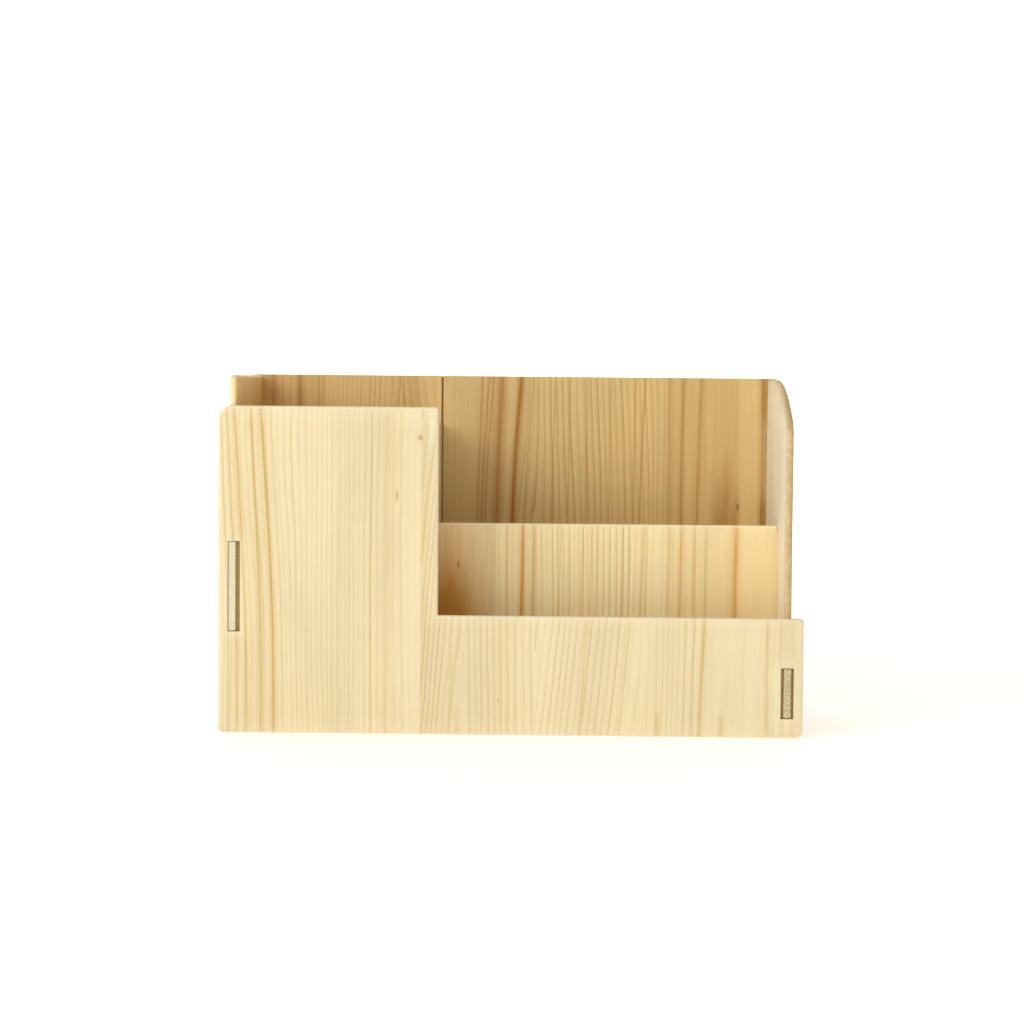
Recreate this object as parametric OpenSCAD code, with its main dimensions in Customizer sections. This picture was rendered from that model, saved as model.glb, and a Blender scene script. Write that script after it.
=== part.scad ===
// Desk organizer made of thin pine boards that slot together.
// Stepped front panel, open low tray, tall pen compartment, rear compartment.
// Origin: middle of the footprint on the table. Front faces -Y, +X right, +Z up.

/* [Overall size] */
// Width over the front panel
organizer_w = 240; // [210:1:280]
// Depth from the front face to the rear face
organizer_d = 95; // [85:1:130]
// Thickness of every board
board_t = 3; // [2.6:0.1:3.4]

/* [Front panel] */
// Height of the tall left part
tall_h = 134; // [118:1:140]
// Width of the tall left part
tall_w = 90.4; // [76:0.2:100]
// Height of the low right part
low_h = 49; // [42:1:58]
// Radius of the tall part's outer top corner
tall_corner_r = 6; // [2:0.5:10]
// Radius of the low part's outer top corner
low_corner_r = 2; // [1:0.5:5]
// Radius of the lower left corner
foot_left_r = 2.4; // [1:0.2:5]
// Radius of the lower right corner
foot_right_r = 3.4; // [1:0.2:5]
// How far the front panel stands out past the left side panel
left_ear_w = 4.5; // [4:0.1:8]
// How far the front panel stands out past the right side panel
right_ear_w = 4.9; // [4:0.1:8]

/* [Back boards] */
// Height of the back
back_h = 147; // [143:1:156]
// How far the back stands out past each side panel
back_ear_w = 2.5; // [2:0.1:2.8]
// Radius of the back's top corners
back_corner_r = 3; // [1:0.5:4]
// Width of the chamfer on each side of the joint between the two back boards
seam_w = 0.7; // [0.3:0.1:0.9]

/* [Side panels] */
// How much lower the side panels are than the back
side_drop = 0.5; // [0:0.1:2]
// Length of the curve along the top of the right side panel
sweep_len = 64; // [46:1:70]
// Height of that curve at the front edge
sweep_h = 24; // [18:1:30]
// Radius of the left side panel's top front corner
left_corner_r = 3.5; // [1:0.5:8]

/* [Dividers] */
// Height of the long divider
divider_h = 85; // [70:1:95]
// Clear depth of the front tray
tray_gap = 30.6; // [25:0.2:36]
// Height of the wall beside the pen compartment
wall_h = 126; // [112:1:130]
// How far the pen compartment wall sits in from the step
wall_inset = 2.6; // [1:0.2:6]

/* [Joints] */
// Width of the recess around each tenon end in the front panel
front_slot_w = 5.2; // [4.6:0.1:5.8]
// Thickness of the front panel left at the bottom of that recess
recess_floor = 0.8; // [0.5:0.1:1.2]
// How far the left recess is off the middle of its tenon, towards the inside
left_slot_shift = 0.75; // [0:0.05:0.8]
// Lower end of the left front slot
left_slot_z = 41.5; // [30:0.5:50]
// Height of the left front slot
left_slot_h = 37.2; // [20:0.2:45]
// Lower end of the right front slot
right_slot_z = 7.8; // [5:0.2:12]
// Height of the right front slot
right_slot_h = 21; // [12:0.2:26]
// How far the tenon ends stay below the front face
tenon_recess = 0.5; // [0.1:0.1:1]
// Clearance on every side of a tab in its slot
fit = 0.15; // [0.1:0.05:0.25]

/* [Edges] */
// Radius of the rounded top edges
edge_r = 1.2; // [0.4:0.1:1.2]

/* [Hidden] */
$fn = 64;

t = board_t;
hw = organizer_w / 2;
yf = -organizer_d / 2;          // outer front face
yfi = yf + t;                   // inner front face
yb = organizer_d / 2;           // outer rear face
ybi = yb - t;                   // inner rear face
xlo = -hw + left_ear_w;         // outer face of the left side panel
xli = xlo + t;                  // its inner face
xro = hw - right_ear_w;         // outer face of the right side panel
xri = xro - t;                  // its inner face
side_h = back_h - side_drop;
xstep = -hw + tall_w;           // right edge of the tall part
wall_x1 = xstep - wall_inset;   // right face of the pen compartment wall
wall_x0 = wall_x1 - t;
seam_x = wall_x1;               // joint between the two back boards, against the wall's tabs
back_x0 = xlo - back_ear_w;
back_x1 = xro + back_ear_w;
base_z0 = 4;                    // underside of the base
base_z1 = base_z0 + t;
div_y0 = yfi + tray_gap;        // front face of the long divider
div_y1 = div_y0 + t;
inner_d = ybi - yfi;

// side panel tenons into the back boards: [lower end, height]
rear_tenons = [[20, 28], [96, 28]];
// base tabs into the side panels: [middle in Y, length]
base_side_tabs = [[-0.24 * inner_d, 16], [0.24 * inner_d, 16]];
// base tabs into the back boards: [middle in X, length]
base_back_left = [(xli + wall_x0) / 2, 26];
base_back_right = [(xri + wall_x1) / 2, 40];
// long divider tabs into the base: middles in X
divider_feet = [wall_x1 + 0.22 * (xri - wall_x1), wall_x1 + 0.78 * (xri - wall_x1)];
foot_len = 18;
// long divider end tabs: [lower end, height]
end_tab = [30, 26];
// pen compartment wall tabs into the back: [lower end, height]
wall_tabs = [[30, 24], [84, 24]];
wall_foot = [2, 20];            // wall tab into the base: [middle in Y, length]

pine_front = [0.937, 0.867, 0.690];
pine_side = [0.925, 0.855, 0.725];
pine_side_left = [0.850, 0.735, 0.545];
pine_back_left = [0.760, 0.640, 0.440];
pine_back = [0.795, 0.675, 0.480];
pine_divider = [0.875, 0.770, 0.580];
pine_wall = [0.830, 0.710, 0.510];
pine_base = [0.840, 0.725, 0.530];

// block between two opposite corners
module block(lo, hi) { translate(lo) cube(hi - lo); }

// cutter that rounds the corner (x, z) of a plate that runs along Y;
// sx and sz point out of the plate
module round_xz(x, z, sx, sz, r, y0, y1) {
    difference() {
        translate([min(x - sx * r, x + sx), y0 - 1, min(z - sz * r, z + sz)])
            cube([r + 1, y1 - y0 + 2, r + 1]);
        translate([x - sx * r, y0 - 2, z - sz * r])
            rotate([-90, 0, 0]) cylinder(r = r, h = y1 - y0 + 4);
    }
}

// the same for the corner (y, z) of a plate that runs along X
module round_yz(y, z, sy, sz, r, x0, x1) {
    difference() {
        translate([x0, min(y - sy * r, y + sy), min(z - sz * r, z + sz)])
            cube([x1 - x0, r + 1, r + 1]);
        translate([x0 - 1, y - sy * r, z - sz * r])
            rotate([0, 90, 0]) cylinder(r = r, h = x1 - x0 + 2);
    }
}

// rounds both long top edges of a board that runs along X
module ease_x(y0, y1, z, x0, x1) {
    round_yz(y0, z, -1, 1, edge_r, x0, x1);
    round_yz(y1, z, 1, 1, edge_r, x0, x1);
}

// rounds both long top edges of a board that runs along Y
module ease_y(x0, x1, z, y0, y1) {
    round_xz(x0, z, -1, 1, edge_r, y0, y1);
    round_xz(x1, z, 1, 1, edge_r, y0, y1);
}

module front_panel() {
    color(pine_front) difference() {
        union() {
            block([-hw, yf, 0], [xstep, yfi, tall_h]);
            block([-hw + 10, yf, 0], [hw, yfi, low_h]);
        }
        round_xz(-hw, tall_h, -1, 1, tall_corner_r, yf, yfi);
        round_xz(xstep, tall_h, 1, 1, 0.8, yf, yfi);
        round_xz(hw, low_h, 1, 1, low_corner_r, yf, yfi);
        round_xz(-hw, 0, -1, -1, foot_left_r, yf, yfi);
        round_xz(hw, 0, 1, -1, foot_right_r, yf, yfi);
        ease_x(yf, yfi, tall_h, -hw - 1, xstep + 1);
        ease_x(yf, yfi, low_h, xstep, hw + 1);
        // slots that take the side panel tenons
        mortise(xlo, xli, left_slot_shift, left_slot_z, left_slot_h);
        mortise(xri, xro, -0.1, right_slot_z, right_slot_h);
    }
}

// slot through the front panel for the tenon at x0..x1, with a wider recess
// around the tenon end; dx moves the recess sideways
module mortise(x0, x1, dx, z, h) {
    xm = (x0 + x1) / 2 + dx;
    block([xm - front_slot_w / 2, yf - 1, z], [xm + front_slot_w / 2, yfi - recess_floor, z + h]);
    block([x0 - fit, yf - 1, z + 0.3 - fit], [x1 + fit, yfi + 1, z + h - 0.3 + fit]);
}

// removes what lies in front of the two-arc curve on the right side panel
module sweep_cut() {
    r1 = 9.3;
    a = sweep_len;
    b = sweep_h;
    r2 = (pow(a - r1, 2) + b * b - r1 * r1) / (2 * (b - r1));
    yj = r1 + r1 * (r1 - a) / (r2 - r1);
    translate([0, yfi, side_h - b]) difference() {
        translate([xri - 1, -1, 0]) cube([t + 2, a + 1, b + 1]);
        translate([xri - 2, r1, 0]) rotate([0, 90, 0]) cylinder(r = r1, h = t + 4);
        intersection() {
            translate([xri - 2, a, b - r2]) rotate([0, 90, 0])
                cylinder(r = r2, h = t + 4, $fn = 180);
            translate([xri - 2, yj, -1]) cube([t + 4, a, b + 3]);
        }
    }
}

// one side panel: s is -1 for the left one and 1 for the right one
module side_board(s, x0, x1, slot_z, slot_h) {
    difference() {
        union() {
            block([x0, yfi, 0], [x1, ybi, side_h]);
            // tenon through the front panel
            block([x0, yf + tenon_recess, slot_z + 0.3],
                  [x1, yfi + 2, slot_z + slot_h - 0.3]);
            // tenons through the back
            for (k = rear_tenons)
                block([x0, ybi - 2, k[0] + fit], [x1, yb - 0.2, k[0] + k[1] - fit]);
        }
        // slots for the base tabs
        for (k = base_side_tabs)
            block([x0 - 1, k[0] - k[1] / 2 - fit, base_z0 - fit],
                  [x1 + 1, k[0] + k[1] / 2 + fit, base_z1 + fit]);
        // dark groove where the panel meets the back board
        round_back_edge(s > 0 ? x0 : x1, s > 0 ? -1 : 1);
    }
}

// small chamfer along the inner rear edge of a side panel, between its tenons
module round_back_edge(x, s) {
    c = 0.8;
    for (k = [[-1, rear_tenons[0][0] - 1],
              [rear_tenons[0][0] + rear_tenons[0][1] + 1, rear_tenons[1][0] - 1],
              [rear_tenons[1][0] + rear_tenons[1][1] + 1, back_h + 2]])
        translate([x, ybi, k[0]]) linear_extrude(height = k[1] - k[0])
            polygon([[s * 1, -c - 1], [s * 1, 1], [-s * c - s, 1], [-s * c, 0], [0, -c]]);
}

module left_side_panel() {
    color(pine_side_left) difference() {
        side_board(-1, xlo, xli, left_slot_z, left_slot_h);
        round_yz(yfi, side_h, -1, 1, left_corner_r, xlo - 1, xli + 1);
        ease_y(xlo, xli, side_h, yfi, ybi);
    }
}

module right_side_panel() {
    color(pine_side) difference() {
        side_board(1, xri, xro, right_slot_z, right_slot_h);
        sweep_cut();
        // slot for the long divider's end tab
        block([xri - 1, div_y0 - fit, end_tab[0] - fit],
              [xro + 1, div_y1 + fit, end_tab[0] + end_tab[1] + fit]);
    }
}

// slots through the back for the tenons of the side panel at x0..x1
module rear_slots(x0, x1) {
    for (k = rear_tenons)
        block([x0 - fit, ybi - 1, k[0]], [x1 + fit, yb + 1, k[0] + k[1]]);
}

// slot through the back for a base tab
module base_slot(k) {
    block([k[0] - k[1] / 2 - fit, ybi - 1, base_z0 - fit],
          [k[0] + k[1] / 2 + fit, yb + 1, base_z1 + fit]);
}

// V-groove half at the joint edge of a back board; s points towards the joint
module seam_cut(s) {
    translate([seam_x, ybi, -1]) linear_extrude(height = back_h + 2)
        polygon([[-s * seam_w, 0], [-s * seam_w, -1], [s * 1, -1], [s * 1, seam_w + 0.2], [0, seam_w + 0.2]]);
}

module back_left_board() {
    color(pine_back_left) difference() {
        block([back_x0, ybi, 0], [seam_x, yb, back_h]);
        round_xz(back_x0, back_h, -1, 1, back_corner_r, ybi, yb);
        round_xz(back_x0, 0, -1, -1, 1.6, ybi, yb);
        round_yz(yb, back_h, 1, 1, edge_r, back_x0 - 1, seam_x + 1);
        rear_slots(xlo, xli);
        base_slot(base_back_left);
        // open notches for the wall's tabs
        for (k = wall_tabs)
            block([wall_x0 - fit, ybi - 1, k[0] - fit], [seam_x + 1, yb + 1, k[0] + k[1] + fit]);
        seam_cut(1);
    }
}

module back_right_board() {
    color(pine_back) difference() {
        block([seam_x, ybi, 0], [back_x1, yb, back_h]);
        round_xz(back_x1, back_h, 1, 1, back_corner_r, ybi, yb);
        round_xz(back_x1, 0, 1, -1, 1.6, ybi, yb);
        round_yz(yb, back_h, 1, 1, edge_r, seam_x - 1, back_x1 + 1);
        rear_slots(xri, xro);
        base_slot(base_back_right);
        seam_cut(-1);
    }
}

module base_panel() {
    color(pine_base) difference() {
        union() {
            block([xli, yfi, base_z0], [xri, ybi, base_z1]);
            for (k = base_side_tabs)
                block([xlo + 0.2, k[0] - k[1] / 2, base_z0], [xro - 0.2, k[0] + k[1] / 2, base_z1]);
            for (k = [base_back_left, base_back_right])
                block([k[0] - k[1] / 2, ybi - 2, base_z0], [k[0] + k[1] / 2, yb - 0.2, base_z1]);
        }
        // slots for the feet of the two dividers
        for (x = divider_feet)
            block([x - foot_len / 2 - fit, div_y0 - fit, base_z0 - 1],
                  [x + foot_len / 2 + fit, div_y1 + fit, base_z1 + 1]);
        block([wall_x0 - fit, wall_foot[0] - wall_foot[1] / 2 - fit, base_z0 - 1],
              [wall_x1 + fit, wall_foot[0] + wall_foot[1] / 2 + fit, base_z1 + 1]);
    }
}

module long_divider() {
    color(pine_divider) difference() {
        union() {
            block([wall_x1, div_y0, base_z1], [xri, div_y1, divider_h]);
            // end tabs into the wall and the right side panel
            block([wall_x0 + 0.2, div_y0, end_tab[0]], [xro - 0.2, div_y1, end_tab[0] + end_tab[1]]);
            for (x = divider_feet)
                block([x - foot_len / 2, div_y0, base_z0 + 0.2], [x + foot_len / 2, div_y1, base_z1 + 1]);
        }
        ease_x(div_y0, div_y1, divider_h, wall_x1 - 1, xri + 1);
    }
}

module cross_divider() {
    color(pine_wall) difference() {
        union() {
            block([wall_x0, yfi, base_z1], [wall_x1, ybi, wall_h]);
            for (k = wall_tabs)
                block([wall_x0, ybi - 2, k[0]], [wall_x1, yb - 0.2, k[0] + k[1]]);
            block([wall_x0, wall_foot[0] - wall_foot[1] / 2, base_z0 + 0.2],
                  [wall_x1, wall_foot[0] + wall_foot[1] / 2, base_z1 + 1]);
        }
        ease_y(wall_x0, wall_x1, wall_h, yfi, ybi);
        // slot for the long divider's end tab
        block([wall_x0 - 1, div_y0 - fit, end_tab[0] - fit],
              [wall_x1 + 1, div_y1 + fit, end_tab[0] + end_tab[1] + fit]);
    }
}

front_panel();
left_side_panel();
right_side_panel();
back_left_board();
back_right_board();
base_panel();
long_divider();
cross_divider();
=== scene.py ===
import bpy
import math
from mathutils import Vector, Matrix, geometry


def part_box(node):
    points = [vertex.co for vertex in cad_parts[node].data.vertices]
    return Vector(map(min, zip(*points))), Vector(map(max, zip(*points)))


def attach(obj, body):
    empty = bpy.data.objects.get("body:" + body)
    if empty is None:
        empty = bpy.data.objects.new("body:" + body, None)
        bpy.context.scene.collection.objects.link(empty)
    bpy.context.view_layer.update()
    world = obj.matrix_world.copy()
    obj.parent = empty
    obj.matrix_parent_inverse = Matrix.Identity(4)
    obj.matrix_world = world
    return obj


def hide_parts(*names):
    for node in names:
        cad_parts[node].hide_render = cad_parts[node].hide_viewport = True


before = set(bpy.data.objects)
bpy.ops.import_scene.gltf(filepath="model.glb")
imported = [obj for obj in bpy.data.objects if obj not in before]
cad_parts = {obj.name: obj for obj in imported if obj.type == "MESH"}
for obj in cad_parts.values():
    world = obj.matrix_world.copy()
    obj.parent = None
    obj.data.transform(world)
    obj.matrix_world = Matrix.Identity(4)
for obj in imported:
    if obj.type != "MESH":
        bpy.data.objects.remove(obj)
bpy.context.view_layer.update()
scene = bpy.context.scene

# ---------------------------------------------------------------- sizes (mm)
MM = 0.001


def nbox(node):
    lo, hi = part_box(node)
    return [c / MM for c in lo], [c / MM for c in hi]


(FX0, FY0, FZ0), (FX1, FY1, FZ1) = nbox("front_panel")
(LX0, LY0, LZ0), (LX1, LY1, LZ1) = nbox("left_side_panel")
(RX0, RY0, RZ0), (RX1, RY1, RZ1) = nbox("right_side_panel")
(BLX0, BLY0, BLZ0), (BLX1, BLY1, BLZ1) = nbox("back_left_board")
(BRX0, BRY0, BRZ0), (BRX1, BRY1, BRZ1) = nbox("back_right_board")
(WX0, WY0, WZ0), (WX1, WY1, WZ1) = nbox("cross_divider")
(DX0, DY0, DZ0), (DX1, DY1, DZ1) = nbox("long_divider")
(SX0, SY0, SZ0), (SX1, SY1, SZ1) = nbox("base_panel")

T = FY1 - FY0
YF, YFI = FY0, FY1                  # front panel, outer and inner face
YBI, YB = BRY0, BRY1                # back boards, inner and outer face
XLI, XRI = LX1, RX0                 # inner faces of the side panels
XSTEP, LOW_H = -29.6, 49.0
SIDE_H = LZ1
SEAM = BRX0
FIT = 0.15
L_SLOT, R_SLOT = (41.5, 78.7), (7.8, 28.8)
REAR = ((20.0, 48.0), (96.0, 124.0))
INNER_D = YBI - YFI
BASE_Y = (-0.24 * INNER_D, 0.24 * INNER_D)
BASE_XL, BASE_XR = (XLI + WX0) / 2, (XRI + WX1) / 2
FEET = (WX1 + 0.22 * (XRI - WX1), WX1 + 0.78 * (XRI - WX1))
END_TAB = (30.0, 56.0)
WALL_TABS = ((30.0, 54.0), (84.0, 108.0))
TIP = YB - 0.2                      # ends of the rear tenons


def ease(t, a, b):
    t = max(0.0, min(1.0, (t - a) / (b - a)))
    return t * t * (3 - 2 * t)


# ------------------------------------------------------------- board builder
def loop(points, step=4.0):
    """Closed outline with rounded corners: [(u, v, corner radius), ...], counter-clockwise."""
    n = len(points)
    out = []
    for i in range(n):
        p0, p1, p2 = (Vector(points[(i + k - 1) % n][:2]) for k in range(3))
        r = points[i][2]
        a, b = (p0 - p1), (p2 - p1)
        la, lb = a.length, b.length
        a.normalize()
        b.normalize()
        turn = math.pi - a.angle(b)
        if r <= 0 or turn < 1e-3:
            out.append((p1, p1))
            continue
        d = min(r * math.tan(turn / 2), la * 0.49, lb * 0.49)
        r = d / math.tan(turn / 2)
        s, e = p1 + a * d, p1 + b * d
        c = p1 + (a + b).normalized() * (r / math.cos(turn / 2))
        seg = max(3, int(math.ceil(turn / math.radians(11))))
        va, vb = s - c, e - c
        sign = 1 if va.x * vb.y - va.y * vb.x > 0 else -1
        arc = []
        for k in range(seg + 1):
            t = sign * turn * k / seg
            arc.append(c + Vector((va.x * math.cos(t) - va.y * math.sin(t), va.x * math.sin(t) + va.y * math.cos(t))))
        out.append(tuple(arc))
    pts = []
    for i in range(n):
        arc = out[i] if out[i][0] is not out[i][-1] else out[i][:1]
        pts.extend(arc)
        q0, q1 = out[i][-1], out[(i + 1) % n][0]
        m = int((q1 - q0).length / step)
        for k in range(1, m + 1):
            t = k / (m + 1)
            pts.append(q0.lerp(q1, t))
    clean = []
    for p in pts:
        if not clean or (p - clean[-1]).length > 1e-4:
            clean.append(p)
    if (clean[0] - clean[-1]).length < 1e-4:
        clean.pop()
    return clean


def outward(pts):
    """Unit offsets that point out of a counter-clockwise loop, lengthened at corners."""
    n = len(pts)
    res = []
    for i in range(n):
        a = (pts[i] - pts[i - 1]).normalized()
        b = (pts[(i + 1) % n] - pts[i]).normalized()
        na, nb = Vector((a.y, -a.x)), Vector((b.y, -b.x))
        m = (na + nb).normalized()
        res.append(m / max(0.6, m.dot(na)))
    return res


PLANES = {"xz": lambda u, v, w: (u, w, v), "yz": lambda u, v, w: (w, u, v), "xy": lambda u, v, w: (u, v, w)}


class Mesh:
    def __init__(self, plane):
        self.to3 = PLANES[plane]
        self.v, self.n, self.edge, self.cut, self.f, self.flat = [], [], [], [], [], []

    def vert(self, u, v, w, nrm, edge, cut=0.0):
        self.v.append(Vector(self.to3(u, v, w)) * MM)
        self.n.append(Vector(self.to3(*nrm)).normalized())
        self.edge.append(edge)
        self.cut.append(cut)
        return len(self.v) - 1

    def face(self, idx, flat=False):
        if len(set(idx)) == len(idx):
            self.f.append(tuple(idx))
            self.flat.append(flat)

    def strip(self, a, b, flat=False):
        n = len(a)
        for i in range(n):
            j = (i + 1) % n
            self.face((a[i], a[j], b[j], b[i]), flat)


def inside(p, poly):
    c, n = False, len(poly)
    for i in range(n):
        a, b = poly[i], poly[i - 1]
        if (a.y > p.y) != (b.y > p.y) and p.x < (b.x - a.x) * (p.y - a.y) / (b.y - a.y) + a.x:
            c = not c
    return c


def near(p, poly, d):
    n = len(poly)
    for i in range(n):
        a, b = poly[i - 1], poly[i]
        ab = b - a
        t = max(0.0, min(1.0, (p - a).dot(ab) / max(ab.length_squared, 1e-12)))
        if (a + ab * t - p).length < d:
            return True
    return False


def cap(mesh, w, nw, outer, holes, grid=7.0, bow=None):
    """Fills the flat face at w between one outer ring and its holes. Rings are (points, vertex indices)."""
    co, idx, edges = [], [], []
    for pts, ids in [outer] + holes:
        base = len(co)
        co += [Vector(p) for p in pts]
        idx += list(ids)
        edges += [(base + i, base + (i + 1) % len(pts)) for i in range(len(pts))]
    us = [p.x for p in outer[0]]
    vs = [p.y for p in outer[0]]
    nu, nv = int((max(us) - min(us)) / grid), int((max(vs) - min(vs)) / grid)
    for i in range(1, max(nu, 1)):
        for j in range(1, max(nv, 1)):
            p = Vector((min(us) + (max(us) - min(us)) * i / nu, min(vs) + (max(vs) - min(vs)) * j / nv))
            if inside(p, outer[0]) and not near(p, outer[0], 2.0) and not any(inside(p, h[0]) or near(p, h[0], 2.0) for h in holes):
                co.append(p)
                idx.append(mesh.vert(p.x, p.y, w, (0, 0, nw), 0.0))
    vc, _e, fc, ov, _oe, _of = geometry.delaunay_2d_cdt(co, edges, [], 1, 1e-6)
    for f in fc:
        c = sum((vc[k] for k in f), Vector((0, 0))) / len(f)
        if inside(c, outer[0]) and not any(inside(c, h[0]) for h in holes):
            mesh.face([idx[ov[k][0]] for k in f], True)


def board(name, node, plane, w0, w1, outline, r0, r1, holes=(), pockets=(), material=None, n=4, cut=None):
    """A board cut from one outline, with its edges sanded round.
    r0 and r1 give the edge radius on the w0 and w1 face at (u, v). Each hole goes through. Each pocket is
    (outer outline, inner outline, depth), open on the w0 face, with the inner outline going on through."""
    m = Mesh(plane)
    pts = loop(outline)
    off = outward(pts)
    rings = []
    a0 = [r0(p.x, p.y) for p in pts]
    a1 = [r1(p.x, p.y) for p in pts]
    for k in range(n + 1):                         # w0 face down to the wall
        a = math.pi / 2 * (1 - k / n)
        ring, pp = [], []
        for p, o, r in zip(pts, off, a0):
            q = p - o * (r * (1 - math.cos(a)))
            nrm = o.normalized()
            ring.append(m.vert(q.x, q.y, w0 + r * (1 - math.sin(a)), (nrm.x * math.cos(a), nrm.y * math.cos(a), -math.sin(a)), min(1.0, r) if k else 0.35 * min(1.0, r), cut(p.x, p.y) if cut and k else 0.0))
            pp.append(q)
        rings.append((pp, ring))
    front = rings[0]
    for k in range(n + 1):                         # wall up to the w1 face
        a = math.pi / 2 * k / n
        ring, pp = [], []
        for p, o, r in zip(pts, off, a1):
            q = p - o * (r * (1 - math.cos(a)))
            nrm = o.normalized()
            ring.append(m.vert(q.x, q.y, w1 - r * (1 - math.sin(a)), (nrm.x * math.cos(a), nrm.y * math.cos(a), math.sin(a)), min(1.0, r) if k < n else 0.35 * min(1.0, r), cut(p.x, p.y) if cut and k < n else 0.0))
            pp.append(q)
        rings.append((pp, ring))
    back = rings[-1]
    for a, b in zip(rings, rings[1:]):
        m.strip(a[1], b[1])
    hs0, hs1 = [], []
    rh = 0.18

    def ring_at(pts_, off_, inset, w, nrm_w, k_out, edge):
        ids, pp = [], []
        for p, o in zip(pts_, off_):
            q = p + o * inset
            e = -o.normalized()
            ids.append(m.vert(q.x, q.y, w, (e.x * k_out, e.y * k_out, nrm_w), edge, 1.0 if k_out == 1 else 0.0))
            pp.append(q)
        return pp, ids

    for h in holes:
        hp = loop(h, 6.0)
        ho = outward(hp)
        rr = [ring_at(hp, ho, rh, w0, -1, 0, 0.5), ring_at(hp, ho, rh * 0.3, w0 + rh * 0.3, -0.7, 0.7, 1.0),
              ring_at(hp, ho, 0, w0 + rh, 0, 1, 1.0), ring_at(hp, ho, 0, w1 - rh, 0, 1, 1.0),
              ring_at(hp, ho, rh * 0.3, w1 - rh * 0.3, 0.7, 0.7, 1.0), ring_at(hp, ho, rh, w1, 1, 0, 0.5)]
        for a, b in zip(rr, rr[1:]):
            m.strip(b[1], a[1])
        hs0.append(rr[0])
        hs1.append(rr[-1])
    for po, pi, depth in pockets:
        op, ip = loop(po, 6.0), loop(pi, 6.0)
        oo, io = outward(op), outward(ip)
        rr = [ring_at(op, oo, rh, w0, -1, 0, 0.5), ring_at(op, oo, rh * 0.3, w0 + rh * 0.3, -0.7, 0.7, 1.0),
              ring_at(op, oo, 0, w0 + rh, 0, 1, 1.0), ring_at(op, oo, 0, w0 + depth, 0, 1, 1.0)]
        for a, b in zip(rr, rr[1:]):
            m.strip(b[1], a[1], a is rr[2])
        ii = [ring_at(ip, io, 0, w0 + depth, 0, 1, 1.0), ring_at(ip, io, 0, w1 - rh, 0, 1, 1.0),
              ring_at(ip, io, rh * 0.3, w1 - rh * 0.3, 0.7, 0.7, 1.0), ring_at(ip, io, rh, w1, 1, 0, 0.5)]
        for a, b in zip(ii, ii[1:]):
            m.strip(b[1], a[1], a is ii[0])
        cap(m, w0 + depth, -1, rr[3], [ii[0]], 1e9)
        hs0.append(rr[0])
        hs1.append(ii[-1])
    cap(m, w0, -1, front, hs0)
    cap(m, w1, 1, back, hs1)

    me = bpy.data.meshes.new(name)
    me.from_pydata([tuple(v) for v in m.v], [], m.f)
    # face directions come from the vertex normals stored above
    flips = []
    for p in me.polygons:
        nn = sum((m.n[i] for i in p.vertices), Vector())
        if p.normal.dot(nn) < 0:
            flips.append(p.index)
    if flips:
        faces = [tuple(reversed(f)) if i in set(flips) else f for i, f in enumerate(m.f)]
        me.clear_geometry()
        me.from_pydata([tuple(v) for v in m.v], [], faces)
    me.polygons.foreach_set("use_smooth", [True] * len(me.polygons))
    att = me.attributes.new("edge", "FLOAT", "POINT")
    att.data.foreach_set("value", m.edge)
    att = me.attributes.new("cut", "FLOAT", "POINT")
    att.data.foreach_set("value", m.cut)
    normals = []
    for p in me.polygons:
        for i in p.vertices:
            normals.append(tuple(p.normal) if m.flat[p.index] else tuple(m.n[i]))
    me.normals_split_custom_set(normals)
    me.update()
    ob = bpy.data.objects.new(name, me)
    scene.collection.objects.link(ob)
    me.materials.append(material)
    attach(ob, "root")
    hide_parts(node)
    return ob


# ------------------------------------------------------------ node shorthand
class Nodes:
    def __init__(self, mat):
        mat.use_nodes = True
        self.t = mat.node_tree
        self.t.nodes.clear()

    def new(self, kind, **props):
        nd = self.t.nodes.new(kind)
        for k, v in props.items():
            setattr(nd, k, v)
        return nd

    def put(self, socket, value):
        if isinstance(value, bpy.types.NodeSocket):
            self.t.links.new(value, socket)
        else:
            socket.default_value = value

    def math(self, op, a, b=None, c=None, clamp=False):
        nd = self.new("ShaderNodeMath", operation=op, use_clamp=clamp)
        for i, x in enumerate((a, b, c)):
            if x is not None:
                self.put(nd.inputs[i], x)
        return nd.outputs[0]

    def add(self, a, b):
        return self.math("ADD", a, b)

    def sub(self, a, b):
        return self.math("SUBTRACT", a, b)

    def mul(self, a, b):
        return self.math("MULTIPLY", a, b)

    def step(self, x, a, b):
        nd = self.new("ShaderNodeMapRange", interpolation_type="SMOOTHSTEP")
        self.put(nd.inputs[0], x)
        lo_, hi_ = (a, b) if a < b else (b, a)
        nd.inputs[1].default_value, nd.inputs[2].default_value = lo_, hi_
        nd.inputs[3].default_value, nd.inputs[4].default_value = (0.0, 1.0) if a < b else (1.0, 0.0)
        return nd.outputs[0]

    def lin(self, x, a, b, c, d):
        nd = self.new("ShaderNodeMapRange")
        self.put(nd.inputs[0], x)
        for i, v in enumerate((a, b, c, d)):
            nd.inputs[1 + i].default_value = v
        return nd.outputs[0]

    def vec(self, x, y, z):
        nd = self.new("ShaderNodeCombineXYZ")
        for i, v in enumerate((x, y, z)):
            self.put(nd.inputs[i], v)
        return nd.outputs[0]

    def noise(self, v, scale=1.0, detail=2.0, rough=0.5):
        nd = self.new("ShaderNodeTexNoise", noise_dimensions="3D")
        self.put(nd.inputs["Vector"], v)
        nd.inputs["Scale"].default_value = scale
        nd.inputs["Detail"].default_value = detail
        nd.inputs["Roughness"].default_value = rough
        return nd.outputs[0]

    def mix(self, f, a, b, blend="MIX"):
        nd = self.new("ShaderNodeMix", data_type="RGBA", blend_type=blend)
        self.put(nd.inputs[0], f)
        self.put(nd.inputs[6], a if isinstance(a, bpy.types.NodeSocket) else (*a, 1.0))
        self.put(nd.inputs[7], b if isinstance(b, bpy.types.NodeSocket) else (*b, 1.0))
        return nd.outputs[2]


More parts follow.
